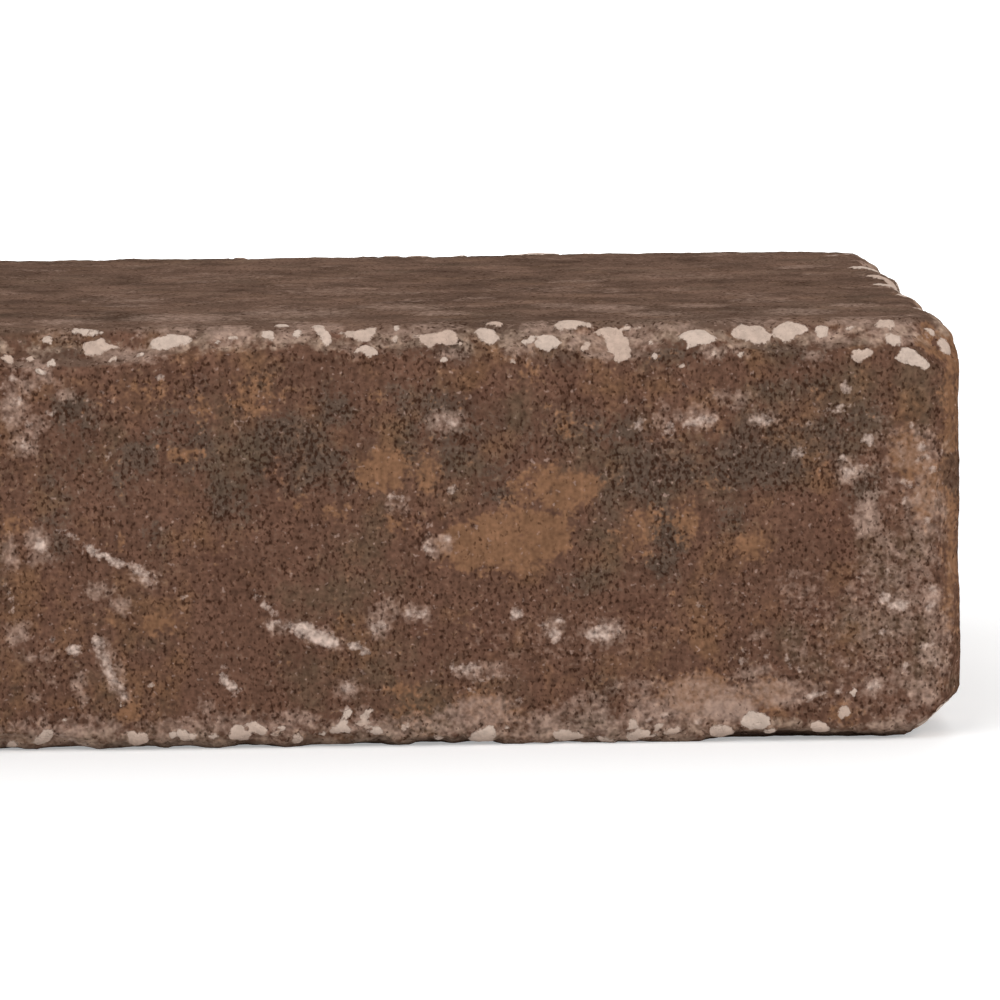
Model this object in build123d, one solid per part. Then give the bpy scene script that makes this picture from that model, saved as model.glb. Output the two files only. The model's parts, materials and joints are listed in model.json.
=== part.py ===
from build123d import *

# Tumbled rectangular concrete paver, cast and pressed as one block.
#
# The block comes out of its mould as a rounded rectangle with square arrises. Tumbling then
# rounds every arris, breaks each corner back to a small facet and knocks shallow spalls out of
# the arrises. The flat middle of each face is left as it was moulded.
#
# Frame: origin at the middle of the bedding face, +X along the length, +Y from the front long
# side to the back one, +Z up to the wearing face. All sizes are in millimetres.

import os
from math import cos, radians, sin
from typing import NamedTuple

# Overall sizes of the block
LENGTH = 210.0
WIDTH = 140.0
THICKNESS = 60.0

# Radius that tumbling has worn on the arrises of each face
TOP_ARRIS_RADIUS = 5.5
BOTTOM_ARRIS_RADIUS = 3.5

# Radius of the four upright arrises, in plan
FRONT_RIGHT_RADIUS = 6.0
FRONT_LEFT_RADIUS = 7.5
BACK_RIGHT_RADIUS = 8.0
BACK_LEFT_RADIUS = 6.5


class CornerBreak(NamedTuple):
    """A corner knocked off along a plane.

    signs points from the middle of the block to the corner. along_x, along_y and along_z are how
    far the plane cuts back from the square corner along each edge.
    """

    signs: tuple[int, int, int]
    along_x: float
    along_y: float
    along_z: float


class Spall(NamedTuple):
    """A shallow scoop out of an arris.

    where is its place along the arris, from 0 at the left, front or bottom end to 1 at the other,
    and span is its length as a share of the arris, so that the wear keeps its layout on a block of
    another size. depth is how far it goes below the worn surface. lean is the angle in degrees
    between its axis and the way that the second face of the arris looks, so 45 takes as much off
    both faces and less takes a flake off the second one.
    """

    where: float
    span: float
    depth: float
    lean: float = 45.0


CORNER_BREAKS = [
    CornerBreak((1, -1, 1), along_x=10.5, along_y=12.0, along_z=10.5),
    CornerBreak((-1, -1, 1), along_x=13.0, along_y=10.5, along_z=9.5),
    CornerBreak((1, 1, 1), along_x=17.0, along_y=12.0, along_z=10.0),
    CornerBreak((-1, 1, 1), along_x=11.0, along_y=14.0, along_z=9.0),
    CornerBreak((1, -1, -1), along_x=8.5, along_y=45.0, along_z=7.5),
    CornerBreak((-1, -1, -1), along_x=10.0, along_y=9.5, along_z=10.0),
    CornerBreak((1, 1, -1), along_x=9.5, along_y=11.0, along_z=12.0),
    CornerBreak((-1, 1, -1), along_x=12.0, along_y=9.0, along_z=8.0),
]

# Each arris is named by the signs of the two faces that it joins, with 0 for the way it runs.
SPALLS = {
    (0, -1, 1): [  # top front
        Spall(where=0.09, span=0.125, depth=1.3),
        Spall(where=0.23, span=0.085, depth=0.9),
        Spall(where=0.39, span=0.17, depth=1.5),
        Spall(where=0.60, span=0.07, depth=0.8),
        Spall(where=0.77, span=0.08, depth=1.7),
        Spall(where=0.89, span=0.10, depth=0.9),
    ],
    (0, 1, 1): [  # top back
        Spall(where=0.14, span=0.135, depth=1.1),
        Spall(where=0.30, span=0.07, depth=0.8),
        Spall(where=0.53, span=0.37, depth=1.2),
        Spall(where=0.82, span=0.09, depth=1.0),
    ],
    (1, 0, 1): [  # top right
        Spall(where=0.22, span=0.16, depth=1.1),
        Spall(where=0.52, span=0.215, depth=0.9),
        Spall(where=0.80, span=0.12, depth=1.2),
    ],
    (-1, 0, 1): [  # top left
        Spall(where=0.19, span=0.13, depth=0.9),
        Spall(where=0.44, span=0.23, depth=1.4),
        Spall(where=0.77, span=0.14, depth=1.0),
    ],
    (0, -1, -1): [  # bottom front
        Spall(where=0.13, span=0.105, depth=0.9),
        Spall(where=0.34, span=0.145, depth=0.7),
        Spall(where=0.605, span=0.034, depth=0.55, lean=20),
        Spall(where=0.895, span=0.15, depth=1.0, lean=15),
    ],
    (0, 1, -1): [  # bottom back
        Spall(where=0.18, span=0.145, depth=0.8),
        Spall(where=0.46, span=0.075, depth=1.0),
        Spall(where=0.79, span=0.125, depth=0.9),
    ],
    (1, 0, -1): [  # bottom right
        Spall(where=0.30, span=0.17, depth=0.9),
        Spall(where=0.68, span=0.13, depth=0.8),
    ],
    (-1, 0, -1): [  # bottom left
        Spall(where=0.26, span=0.11, depth=1.0),
        Spall(where=0.62, span=0.20, depth=0.7),
    ],
    (1, -1, 0): [Spall(where=0.57, span=0.27, depth=0.6)],
    (-1, -1, 0): [Spall(where=0.45, span=0.33, depth=1.0)],
    (1, 1, 0): [Spall(where=0.50, span=0.30, depth=0.9)],
    (-1, 1, 0): [Spall(where=0.56, span=0.25, depth=0.8)],
}

HALF_SIZE = Vector(LENGTH / 2, WIDTH / 2, THICKNESS / 2)
CENTRE = Vector(0, 0, THICKNESS / 2)
UPRIGHT_RADII = {
    (1, -1): FRONT_RIGHT_RADIUS,
    (-1, -1): FRONT_LEFT_RADIUS,
    (1, 1): BACK_RIGHT_RADIUS,
    (-1, 1): BACK_LEFT_RADIUS,
}


def square_point(signs):
    """The point of the square block that the signs point at, before any wear."""
    return CENTRE + Vector(*(sign * half for sign, half in zip(signs, HALF_SIZE)))


def rounded_block():
    """The block with its four upright arrises and the rims of both flat faces worn round."""
    block = Pos(*CENTRE) * Box(LENGTH, WIDTH, THICKNESS)
    for upright in block.edges().filter_by(Axis.Z):
        middle = upright.center()
        side = (1 if middle.X > 0 else -1, 1 if middle.Y > 0 else -1)
        nearest = block.edges().filter_by(Axis.Z).sort_by_distance(middle)[0]
        block = fillet(nearest, UPRIGHT_RADII[side])
    block = fillet(block.faces().sort_by(Axis.Z)[-1].edges(), TOP_ARRIS_RADIUS)
    return fillet(block.faces().sort_by(Axis.Z)[0].edges(), BOTTOM_ARRIS_RADIUS)


def break_corner(block, corner):
    """Cuts a corner off along the plane through three points on its edges."""
    cut_back = (corner.along_x, corner.along_y, corner.along_z)
    outward = Vector(*(sign / length for sign, length in zip(corner.signs, cut_back)))
    on_edge = square_point(corner.signs) - Vector(corner.signs[0] * corner.along_x, 0, 0)
    return block.split(Plane(origin=on_edge, z_dir=outward), keep=Keep.BOTTOM)


def arris_radius(signs):
    """The worn radius of the arris that the signs name."""
    if signs[2] == 0:
        return UPRIGHT_RADII[signs[:2]]
    return TOP_ARRIS_RADIUS if signs[2] > 0 else BOTTOM_ARRIS_RADIUS


def spall_scoop(signs, spall):
    """The ball that leaves a spall of the given span and depth when it is cut away."""
    run = signs.index(0)
    half_run = tuple(HALF_SIZE)[run]
    half_span = spall.span * half_run
    ball_radius = (half_span**2 + spall.depth**2) / (2 * spall.depth)
    first_share, second_share = sin(radians(spall.lean)), cos(radians(spall.lean))
    shares = [first_share, second_share]
    shares.insert(run, 0)
    outward = Vector(*(sign * share for sign, share in zip(signs, shares)))
    worn_back = arris_radius(signs) * (first_share + second_share - 1)
    ways = (Vector(1, 0, 0), Vector(0, 1, 0), Vector(0, 0, 1))
    along = ways[run] * (2 * spall.where - 1) * half_run
    middle = square_point(signs) + along + outward * (ball_radius - spall.depth - worn_back)
    return Pos(*middle) * Sphere(ball_radius)


def paver():
    """The whole tumbled block."""
    block = rounded_block()
    for corner in CORNER_BREAKS:
        block = break_corner(block, corner)
    scoops = [spall_scoop(signs, spall) for signs, spalls in SPALLS.items() for spall in spalls]
    return block - scoops


os.makedirs("parts", exist_ok=True)
block = paver()
print("paver volume", round(block.volume), "mm3, faces", len(block.faces()))
export_step(block, "parts/paver.step")
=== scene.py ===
# Looks of a tumbled concrete paver, built around its imported solid.
#
# The block is one casting, so it is one piece: an even mesh of the imported solid, chipped and
# pitted by displacement, with the marks of casting and tumbling and a band of painted light along
# the bottom arris kept on it as mesh attributes that one layered concrete finish reads.
# Lengths are in metres unless a name says otherwise.

import json
import logging
import math
from dataclasses import dataclass, field, replace
from enum import Enum

import bpy
import numpy as np
from bpy.types import Material, Node, NodeSocket, Object
from mathutils import Matrix, Quaternion, Vector
from mathutils.bvhtree import BVHTree

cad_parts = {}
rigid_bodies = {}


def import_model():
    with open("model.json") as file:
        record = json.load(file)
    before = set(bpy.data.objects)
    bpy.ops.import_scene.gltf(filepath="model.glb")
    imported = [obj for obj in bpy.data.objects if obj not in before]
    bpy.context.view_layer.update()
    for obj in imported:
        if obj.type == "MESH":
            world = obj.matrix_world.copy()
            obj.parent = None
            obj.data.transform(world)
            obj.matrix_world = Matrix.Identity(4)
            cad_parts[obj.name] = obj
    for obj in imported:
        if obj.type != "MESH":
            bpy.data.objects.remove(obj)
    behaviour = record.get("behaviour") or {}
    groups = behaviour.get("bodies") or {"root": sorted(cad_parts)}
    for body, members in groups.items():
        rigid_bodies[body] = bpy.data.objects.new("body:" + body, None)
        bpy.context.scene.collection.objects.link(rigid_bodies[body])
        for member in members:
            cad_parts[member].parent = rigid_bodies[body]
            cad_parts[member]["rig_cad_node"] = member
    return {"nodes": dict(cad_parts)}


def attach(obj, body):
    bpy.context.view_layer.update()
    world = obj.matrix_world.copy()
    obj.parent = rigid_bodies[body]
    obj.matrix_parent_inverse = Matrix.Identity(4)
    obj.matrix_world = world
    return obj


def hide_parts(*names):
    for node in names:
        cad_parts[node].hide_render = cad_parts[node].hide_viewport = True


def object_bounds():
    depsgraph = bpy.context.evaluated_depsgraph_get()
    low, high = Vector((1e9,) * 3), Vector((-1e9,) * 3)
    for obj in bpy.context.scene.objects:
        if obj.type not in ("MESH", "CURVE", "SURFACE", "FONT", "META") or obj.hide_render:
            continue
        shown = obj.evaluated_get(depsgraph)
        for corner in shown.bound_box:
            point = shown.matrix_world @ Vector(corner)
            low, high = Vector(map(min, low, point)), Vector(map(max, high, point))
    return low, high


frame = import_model()
CAD_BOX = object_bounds()

MM = 0.001
LOG = logging.getLogger("paver")

Rgb = tuple[int, int, int]
Point = tuple[float, float]


class Layer(Enum):
    """The kinds of mark on the concrete; each value is the name of its mesh attribute."""

    STONE = "stone_edge"
    TINT = "stone_tint"
    SCUFF = "scuff"
    # Pale bloom, and painted light along the bottom arris
    HAZE_AND_PAINTED_LIGHT = "haze_and_painted_light"
    TAN = "tan"
    CHARCOAL = "charcoal"
    ARRIS = "arris"
    LEVEL = "level_face"


class Face(Enum):
    """The six faces of the block, by the way that each one looks."""

    FRONT = (0, -1, 0)
    BACK = (0, 1, 0)
    LEFT = (-1, 0, 0)
    RIGHT = (1, 0, 0)
    TOP = (0, 0, 1)
    BOTTOM = (0, 0, -1)


@dataclass(frozen=True)
class Outline:
    """A stone drawn by its own corners, in pixels of the photograph."""

    corners: tuple[Point, ...]
    strength: float = 1.0

    def polygon(self, dice: np.random.Generator) -> np.ndarray:
        """Gives the corners as they are drawn."""
        return np.array(self.corners, float)


@dataclass(frozen=True)
class Spot:
    """A patch with an uneven rim inside an ellipse, in pixels of the photograph.

    turn is in degrees anticlockwise, and corners is how many corners its rim has.
    """

    across: float
    down: float
    wide: float
    high: float
    turn: float = 0.0
    strength: float = 1.0
    corners: int = 8

    def polygon(self, dice: np.random.Generator) -> np.ndarray:
        """Draws the uneven rim.

        Args:
            dice: where the unevenness comes from.

        Returns:
            The corners of the rim, one row each.
        """
        step = math.tau / self.corners
        angles = np.arange(self.corners) * step + dice.uniform(-0.3, 0.3, self.corners) * step
        reach = dice.uniform(0.82, 1.12, self.corners)
        along = np.cos(angles) * reach * self.wide / 2
        upward = np.sin(angles) * reach * self.high / 2
        turn = math.radians(self.turn)
        across = self.across + along * math.cos(turn) - upward * math.sin(turn)
        down = self.down - along * math.sin(turn) - upward * math.cos(turn)
        return np.stack([across, down], axis=1)


@dataclass(frozen=True)
class Stroke:
    """A scrape along a path, which tapers to both ends, in pixels of the photograph."""

    path: tuple[Point, ...]
    width: float
    strength: float = 1.0

    def polygon(self, dice: np.random.Generator) -> np.ndarray:
        """Draws the scrape as a band with an uneven rim.

        Args:
            dice: where the unevenness comes from.

        Returns:
            The corners of the rim, one row each.
        """
        corners = np.array(self.path, float)
        line = np.empty((2 * len(corners) - 1, 2))
        line[0::2] = corners
        line[1::2] = (corners[1:] + corners[:-1]) / 2
        ways = np.gradient(line, axis=0)
        sides = np.stack([-ways[:, 1], ways[:, 0]], axis=1)
        sides /= np.linalg.norm(sides, axis=1, keepdims=True)
        swell = dice.uniform(0.7, 1.1, (2, len(line), 1)) * self.width / 2
        swell[:, (0, -1)] *= 0.25
        return np.concatenate([line + sides * swell[0], (line - sides * swell[1])[::-1]])


Mark = Outline | Spot | Stroke

# Stones that wear has laid bare along the top arris, from left to right
TOP_STONES: tuple[Mark, ...] = (
    Spot(8, 359, 15, 8, turn=-15),
    Spot(30, 359, 9, 5),
    Spot(48, 340, 11, 8),
    Spot(51, 364, 12, 7, turn=40),
    Spot(41, 372, 13, 6, turn=-20),
    Outline(((83, 349), (84, 343), (90, 341), (95, 342), (101, 338), (106, 340), (107, 344),
             (119, 347), (112, 350), (101, 353), (90, 357), (85, 356))),
    Spot(86, 332, 38, 6, turn=-4),
    Spot(140, 355, 7, 6),
    Spot(113, 359, 10, 5, turn=15),
    Spot(160, 379, 5, 6),
    Outline(((150, 346), (152, 339), (161, 337), (171, 334), (179, 336), (189, 336), (193, 340),
             (185, 344), (174, 348), (160, 350), (152, 350))),
    Spot(239, 324, 16, 6),
    Spot(233, 338, 10, 5),
    Spot(219, 342, 6, 5),
    Outline(((258, 333), (266, 331), (273, 332), (275, 338), (273, 341), (267, 339))),
    Spot(282, 326, 13, 7),
    Spot(297, 333, 11, 6, turn=30),
    Outline(((308, 322), (321, 322), (324, 328), (329, 333), (333, 341), (330, 345), (325, 346),
             (320, 339), (315, 331))),
    Outline(((338, 333), (352, 331), (366, 329), (376, 328), (376, 334), (371, 340), (363, 342),
             (354, 338), (345, 336))),
    Outline(((353, 353), (359, 347), (368, 345), (376, 349), (378, 353), (373, 356), (369, 361),
             (366, 356), (363, 352), (358, 353))),
    Spot(398, 328, 11, 5),
    Spot(395, 339, 7, 8),
    Spot(411, 337, 6, 4),
    Outline(((416, 336), (430, 334), (442, 332), (450, 329), (456, 333), (458, 338), (455, 345),
             (447, 346), (437, 343), (430, 348), (422, 344))),
    Spot(460, 344, 5, 5),
    Outline(((474, 333), (478, 329), (486, 328), (494, 331), (499, 338), (496, 345), (488, 345),
             (480, 340))),
    Spot(495, 324, 18, 5),
    Spot(444, 360, 8, 5),
    Outline(((519, 340), (526, 340), (530, 336), (537, 336), (536, 341), (530, 344), (524, 345))),
    Outline(((534, 344), (537, 338), (544, 335), (553, 336), (559, 339), (561, 343), (555, 348),
             (545, 354), (543, 350), (536, 348))),
    Outline(((553, 327), (558, 322), (571, 319), (583, 322), (595, 325), (594, 328), (581, 327),
             (571, 329), (559, 330))),
    Spot(585, 347, 13, 8, turn=50),
    Outline(((593, 333), (604, 327), (615, 327), (621, 332), (625, 338), (629, 338), (628, 345),
             (631, 349), (630, 358), (622, 362), (617, 363), (613, 356), (607, 350), (606, 344),
             (604, 337))),
    Spot(627, 328, 10, 6),
    Spot(638, 328, 6, 5),
    Spot(650, 343, 6, 6),
    Spot(655, 356, 7, 5),
    Spot(513, 361, 6, 5),
    Outline(((677, 337), (685, 332), (694, 330), (704, 330), (713, 336), (717, 340), (709, 344),
             (702, 345), (688, 348), (686, 341))),
    Spot(713, 354, 8, 8),
    Spot(682, 366, 6, 5),
    Outline(((731, 332), (740, 324), (750, 326), (762, 326), (767, 332), (771, 338), (765, 344),
             (755, 344), (748, 341), (733, 337))),
    Spot(740, 354, 6, 5),
    Outline(((770, 336), (777, 326), (785, 322), (798, 323), (809, 328), (808, 332), (797, 336),
             (786, 344), (780, 339))),
    Outline(((814, 327), (823, 325), (828, 328), (829, 333), (823, 338), (817, 335))),
    Spot(800, 366, 5, 4),
    Spot(851, 328, 10, 4),
    Outline(((853, 349), (860, 350), (868, 348), (873, 351), (872, 356), (864, 359), (860, 363),
             (852, 359))),
    Outline(((875, 324), (880, 320), (895, 320), (895, 327), (891, 330), (879, 328))),
    Outline(((883, 334), (891, 334), (895, 336), (902, 336), (901, 344), (892, 346), (886, 342))),
    Outline(((895, 358), (902, 347), (912, 349), (922, 356), (930, 365), (926, 370), (919, 366),
             (903, 363))),
    Outline(((925, 329), (929, 328), (935, 333), (934, 336), (930, 336))),
    Outline(((937, 342), (939, 338), (946, 340), (950, 348), (950, 355), (945, 354), (938, 347))),
)

# Stones along the bottom arris, from left to right
BOTTOM_STONES: tuple[Mark, ...] = (
    Outline(((5, 747), (8, 742), (14, 739), (18, 743), (17, 747))),
    Outline(((33, 744), (33, 739), (40, 734), (46, 729), (53, 729), (53, 736), (49, 741), (42, 744))),
    Spot(66, 721, 8, 4, turn=-25),
    Outline(((127, 732), (133, 730), (138, 733), (146, 733), (149, 740), (145, 745), (135, 746),
             (129, 742))),
    Spot(152, 686, 5, 5),
    Spot(122, 704, 6, 5),
    Spot(85, 705, 7, 5),
    Outline(((179, 729), (188, 731), (196, 736), (193, 740), (181, 740), (178, 735))),
    Spot(173, 735, 7, 7),
    Spot(214, 736, 12, 6, turn=-15),
    Outline(((229, 734), (233, 726), (238, 723), (245, 728), (251, 733), (250, 739), (240, 740),
             (230, 739))),
    Outline(((247, 725), (251, 720), (258, 722), (264, 726), (268, 732), (263, 737), (258, 734),
             (251, 730))),
    Spot(280, 728, 12, 5),
    Spot(274, 734, 9, 4),
    Outline(((293, 735), (298, 733), (303, 735), (303, 744), (293, 744))),
    Spot(323, 733, 8, 4, turn=15),
    Outline(((331, 732), (333, 727), (338, 724), (341, 719), (346, 721), (348, 726), (352, 730),
             (351, 733), (342, 732), (335, 734))),
    Outline(((343, 716), (344, 710), (348, 709), (352, 711), (349, 718))),
    Outline(((360, 716), (364, 712), (367, 709), (373, 710), (372, 713), (368, 714), (368, 720),
             (363, 721))),
    Outline(((353, 722), (360, 721), (369, 722), (374, 725), (366, 729), (359, 726))),
    Outline(((366, 732), (370, 729), (377, 726), (382, 728), (384, 734), (375, 734))),
    Spot(438, 738, 9, 6),
    Spot(405, 727, 9, 7),
    Outline(((467, 739), (472, 733), (481, 729), (489, 725), (495, 726), (496, 735), (491, 743),
             (469, 742))),
    Spot(507, 727, 4, 6),
    Outline(((553, 732), (560, 729), (568, 728), (575, 732), (583, 733), (584, 737), (574, 739),
             (560, 741), (553, 737))),
    Outline(((594, 737), (605, 737), (617, 740), (614, 742), (602, 741))),
    Outline(((627, 729), (629, 724), (633, 716), (637, 721), (637, 728), (630, 730))),
    Outline(((627, 736), (634, 729), (645, 728), (651, 733), (657, 735), (654, 737), (643, 737),
             (634, 741), (628, 741))),
    Outline(((654, 726), (658, 722), (663, 724), (662, 728), (657, 730))),
    Outline(((662, 732), (672, 729), (678, 726), (682, 727), (682, 732), (674, 734), (666, 734))),
    Outline(((708, 732), (713, 726), (723, 725), (730, 727), (734, 732), (735, 734), (726, 735),
             (723, 738), (710, 735))),
    Outline(((741, 722), (744, 716), (751, 709), (758, 713), (769, 716), (770, 725), (763, 729),
             (750, 729), (742, 726))),
    Spot(770, 731, 16, 6, turn=10),
    Outline(((810, 728), (811, 723), (819, 721), (825, 723), (830, 728), (829, 733), (815, 732))),
    Spot(854, 692, 7, 8),
    Spot(844, 712, 16, 12, turn=30),
)

# Hard pale scrapes on the front
SCUFFS: tuple[Mark, ...] = (
    Stroke(((84, 545), (96, 553), (112, 560), (128, 566)), 7, strength=0.95),
    Stroke(((124, 564), (142, 573), (160, 586)), 12, strength=0.55),
    Stroke(((54, 531), (66, 533), (80, 539)), 6, strength=0.6),
    Spot(40, 546, 13, 14, strength=0.9),
    Stroke(((94, 636), (100, 648), (108, 668), (116, 684), (126, 700)), 13, strength=0.65),
    Spot(98, 643, 9, 10, strength=0.85),
    Stroke(((4, 586), (12, 599), (16, 615)), 4, strength=0.7),
    Spot(74, 650, 17, 11, strength=0.85),
    Spot(52, 639, 8, 7, strength=0.8),
    Stroke(((221, 674), (227, 684), (240, 691)), 8, strength=1.2),
    Stroke(((214, 644), (219, 660), (226, 674)), 4, strength=0.45),
    Spot(227, 666, 6, 4, strength=0.7),
    Stroke(((252, 589), (261, 600), (272, 611), (280, 621)), 5, strength=0.75),
    Stroke(((294, 626), (308, 631), (322, 637), (338, 645)), 15, strength=1.1),
    Stroke(((264, 626), (285, 626), (305, 632)), 9, strength=0.55),
    Spot(354, 646, 12, 9, strength=1.3),
    Spot(365, 651, 11, 8, strength=1.2),
    Spot(605, 632, 36, 16, turn=10, strength=0.62),
    Spot(616, 625, 14, 7, strength=0.6),
    Spot(590, 634, 13, 9, strength=0.95),
    Spot(554, 635, 14, 14, strength=0.75),
    Spot(558, 620, 11, 7, strength=0.7),
    Spot(545, 625, 10, 8, strength=0.6),
    Spot(516, 614, 15, 12, strength=0.7),
    Stroke(((805, 700), (813, 696), (828, 691)), 6),
    Spot(898, 605, 25, 12, strength=0.85),
    Spot(885, 597, 13, 12, strength=0.7),
    Spot(934, 590, 14, 12, strength=0.55),
    Spot(931, 606, 18, 12, strength=0.5),
    Spot(928, 645, 14, 10, strength=0.5),
    Spot(934, 660, 12, 14, strength=0.45),
    Spot(906, 668, 5, 11, turn=30, strength=0.9),
    Stroke(((786, 655), (794, 669)), 4, strength=0.8),
    Spot(746, 650, 12, 11, strength=0.5),
    Spot(743, 662, 10, 9, strength=0.45),
    Spot(452, 423, 12, 10, strength=0.8),
    Spot(441, 419, 12, 7, strength=0.55),
    Spot(460, 418, 9, 6, strength=0.5),
    Spot(430, 549, 16, 18, strength=0.55),
    Spot(448, 538, 8, 8, strength=0.7),
    Spot(702, 420, 30, 12, strength=0.65),
    Spot(690, 425, 14, 9, strength=0.7),
    Spot(640, 424, 12, 14, strength=0.7),
    Spot(669, 428, 14, 16, strength=0.5),
    Spot(762, 420, 28, 9, strength=0.7),
    Stroke(((818, 413), (832, 410), (851, 407)), 5, strength=0.75),
    Spot(845, 388, 10, 14, strength=0.7),
    Spot(868, 440, 11, 14, turn=30, strength=0.9),
    Spot(798, 452, 16, 9, strength=0.7),
    Spot(850, 471, 18, 12, turn=-10, strength=0.8),
    Spot(862, 467, 11, 8, strength=0.65),
    Spot(847, 479, 12, 6, strength=0.5),
    Spot(842, 459, 7, 8, strength=0.8),
    Spot(806, 425, 10, 10, strength=0.5),
    Spot(912, 425, 7, 6, strength=0.6),
    Spot(918, 450, 7, 7, strength=0.8),
    Spot(918, 460, 6, 5, strength=0.7),
    Spot(905, 481, 8, 6, strength=0.8),
    Spot(935, 471, 5, 5, strength=0.7),
    Spot(917, 496, 5, 6, strength=0.7),
    Spot(159, 378, 6, 6, strength=0.9),
    Spot(108, 402, 7, 5, strength=0.7),
    Spot(108, 457, 6, 8, strength=0.7),
    Spot(129, 385, 4, 4, strength=0.7),
    Spot(570, 400, 5, 6, strength=0.6),
    Spot(150, 685, 4, 4, strength=0.8),
    Spot(184, 597, 7, 5, strength=0.7),
    Spot(700, 606, 18, 8, strength=0.45),
    Spot(462, 668, 38, 11, strength=0.6),
    Spot(484, 677, 40, 9, strength=0.5),
    Spot(393, 497, 12, 8, strength=0.55),
    Spot(403, 499, 7, 7, strength=0.65),
    Spot(452, 491, 12, 9, strength=0.75),
    Spot(347, 688, 20, 12, strength=0.65),
    Spot(345, 710, 8, 7, strength=0.8),
    Spot(415, 613, 28, 11, strength=0.55),
    Spot(378, 627, 16, 18, strength=0.5),
    Spot(875, 686, 16, 13, strength=0.55),
    Spot(921, 447, 9, 8, strength=0.95),
    Spot(926, 457, 7, 6, strength=0.85),
    Spot(909, 484, 10, 7, strength=0.9),
    Spot(932, 470, 6, 6, strength=0.8),
    Spot(943, 452, 6, 5, strength=0.8),
    Spot(898, 446, 6, 5, strength=0.7),
    Spot(905, 500, 6, 6, strength=0.7),
    Spot(928, 520, 8, 8, strength=0.6),
    Spot(46, 373, 14, 6, turn=-20, strength=0.75),
    Spot(14, 379, 12, 7, strength=0.7),
    Spot(36, 388, 10, 6, strength=0.65),
    Spot(18, 402, 11, 9, strength=0.7),
    Spot(52, 412, 8, 8, strength=0.65),
    Spot(8, 418, 9, 8, strength=0.65),
    Spot(30, 424, 10, 7, strength=0.55),
    Spot(24, 446, 14, 9, strength=0.7),
    Spot(838, 692, 8, 6, strength=0.7),
    Spot(768, 655, 10, 12, strength=0.5),
    Spot(800, 668, 8, 7, strength=0.55),
    Spot(822, 655, 7, 8, strength=0.5),
    Spot(884, 632, 10, 7, strength=0.6),
    Spot(860, 575, 16, 5, strength=0.55),
    Spot(888, 572, 8, 7, strength=0.5),
    Spot(520, 700, 16, 6, turn=20, strength=0.6),
    Spot(470, 690, 12, 8, strength=0.5),
    Spot(648, 720, 8, 6, strength=0.8),
    Spot(665, 716, 7, 6, strength=0.7),
    Spot(698, 722, 9, 5, strength=0.6),
)
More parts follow.
